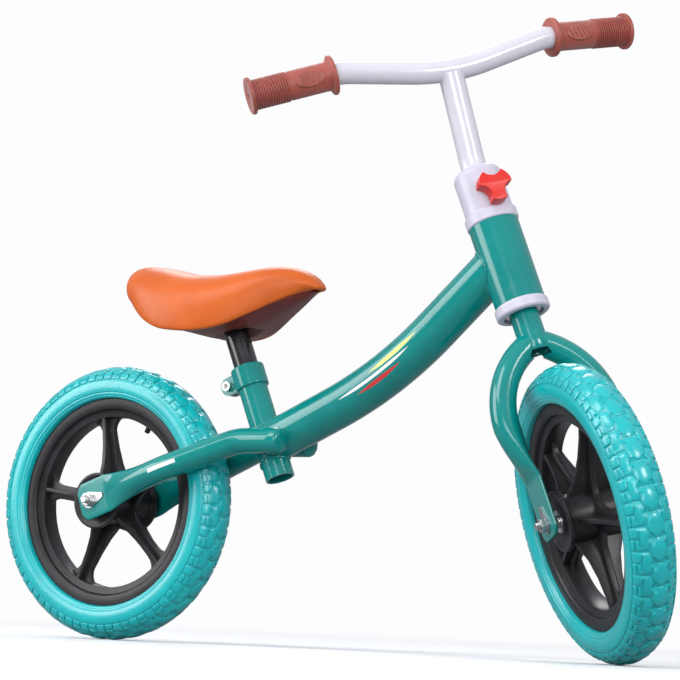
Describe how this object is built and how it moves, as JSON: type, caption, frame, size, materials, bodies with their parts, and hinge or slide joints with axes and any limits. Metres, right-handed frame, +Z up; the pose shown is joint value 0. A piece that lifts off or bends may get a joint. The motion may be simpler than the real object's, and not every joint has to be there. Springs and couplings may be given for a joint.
{
  "type": "balance bike",
  "caption": "Child's balance bike: curved tube frame, foam tyres on spoked rims, turning fork with raisable bar, and padded saddle on a sliding post.",
  "frame": {"origin": "where the rear tyre meets the ground, on the bike's middle plane", "axes": "+X forward, +Y to the rider's left, +Z up"},
  "size_m": [0.8353, 0.326, 0.6591],
  "materials": {
    "frame_paint": "gloss enamel",
    "collar_plastic": "smooth moulded",
    "bearing_steel": "polished",
    "zinc_steel": "bright zinc plate",
    "bar_paint": "gloss enamel",
    "grip_rubber": "soft moulded",
    "knob_plastic": "smooth moulded",
    "post_paint": "gloss enamel",
    "pan_plastic": "fine texture",
    "saddle_skin": "smooth skinned foam",
    "rim_plastic": "satin moulded",
    "tyre_foam": "matte foam"
  },
  "bodies": {
    "frame": {"head_tube": "frame_paint", "main_tube": "frame_paint", "seat_tube": "frame_paint", "stay_right": "frame_paint", "stay_left": "frame_paint", "lower_cup": "collar_plastic", "upper_cup": "collar_plastic", "lower_head_bearing": "bearing_steel", "upper_head_bearing": "bearing_steel", "seat_clamp": "frame_paint", "seat_clamp_bolt": "zinc_steel", "seat_clamp_nut": "zinc_steel", "rear_axle": "zinc_steel", "rear_axle_sleeve": "zinc_steel", "rear_cone_nuts": "zinc_steel", "rear_tab_washers": "zinc_steel", "rear_axle_nuts": "zinc_steel"},
    "fork": {"steerer_tube": "frame_paint", "fork_leg_right": "frame_paint", "fork_leg_left": "frame_paint", "fork_races": "bearing_steel", "bar_clamp_collar": "collar_plastic", "front_axle": "zinc_steel", "front_axle_sleeve": "zinc_steel", "front_cone_nuts": "zinc_steel", "front_tab_washers": "zinc_steel", "front_axle_nuts": "zinc_steel"},
    "handlebar": {"stem_tube": "bar_paint", "handlebar_tube": "bar_paint", "grip_right": "grip_rubber", "grip_left": "grip_rubber"},
    "clamp_screw": {"clamp_screw": "zinc_steel"},
    "clamp_knob": {"clamp_knob": "knob_plastic"},
    "seat": {"seat_post": "post_paint", "post_plate": "post_paint", "saddle_pan": "pan_plastic", "saddle_screws": "zinc_steel", "saddle_cover": "saddle_skin"},
    "rear_wheel": {"rear_rim": "rim_plastic", "rear_tyre": "tyre_foam", "rear_bearings": "bearing_steel", "rear_valve_peg": "rim_plastic"},
    "front_wheel": {"front_rim": "rim_plastic", "front_tyre": "tyre_foam", "front_bearings": "bearing_steel", "front_valve_peg": "rim_plastic"}
  },
  "joints": [
    {"name": "steering", "type": "hinge", "parent": "frame", "child": "fork", "pos_m": [0.47471, 0, 0.3682], "axis": [-0.3907, 0, 0.9205], "continuous": true},
    {"name": "handlebar_height", "type": "slide", "parent": "fork", "child": "handlebar", "axis": [-0.3907, 0, 0.9205], "range_m": [0, 0.05]},
    {"name": "screw_travel", "type": "slide", "parent": "fork", "child": "clamp_screw", "axis": [0.6841, -0.6691, 0.2904], "range_m": [0, 0.0025]},
    {"name": "knob_turn", "type": "hinge", "parent": "clamp_screw", "child": "clamp_knob", "pos_m": [0.45997, -0.01807, 0.45428], "axis": [0.6841, -0.6691, 0.2904], "range_deg": [0, 720]},
    {"name": "seat_height", "type": "slide", "parent": "frame", "child": "seat", "axis": [-0.3907, 0, 0.9205], "range_m": [-0.045, 0.03]},
    {"name": "rear_wheel_spin", "type": "hinge", "parent": "frame", "child": "rear_wheel", "pos_m": [0, 0, 0.145], "axis": [0, 1, 0], "continuous": true},
    {"name": "front_wheel_spin", "type": "hinge", "parent": "fork", "child": "front_wheel", "pos_m": [0.57125, 0, 0.14076], "axis": [0.6159, 0.7431, 0.2614], "continuous": true}
  ],
  "couplings": [
    {"joint": "knob_turn", "follows": "screw_travel", "rad_per_m": 5026.5}
  ]
}
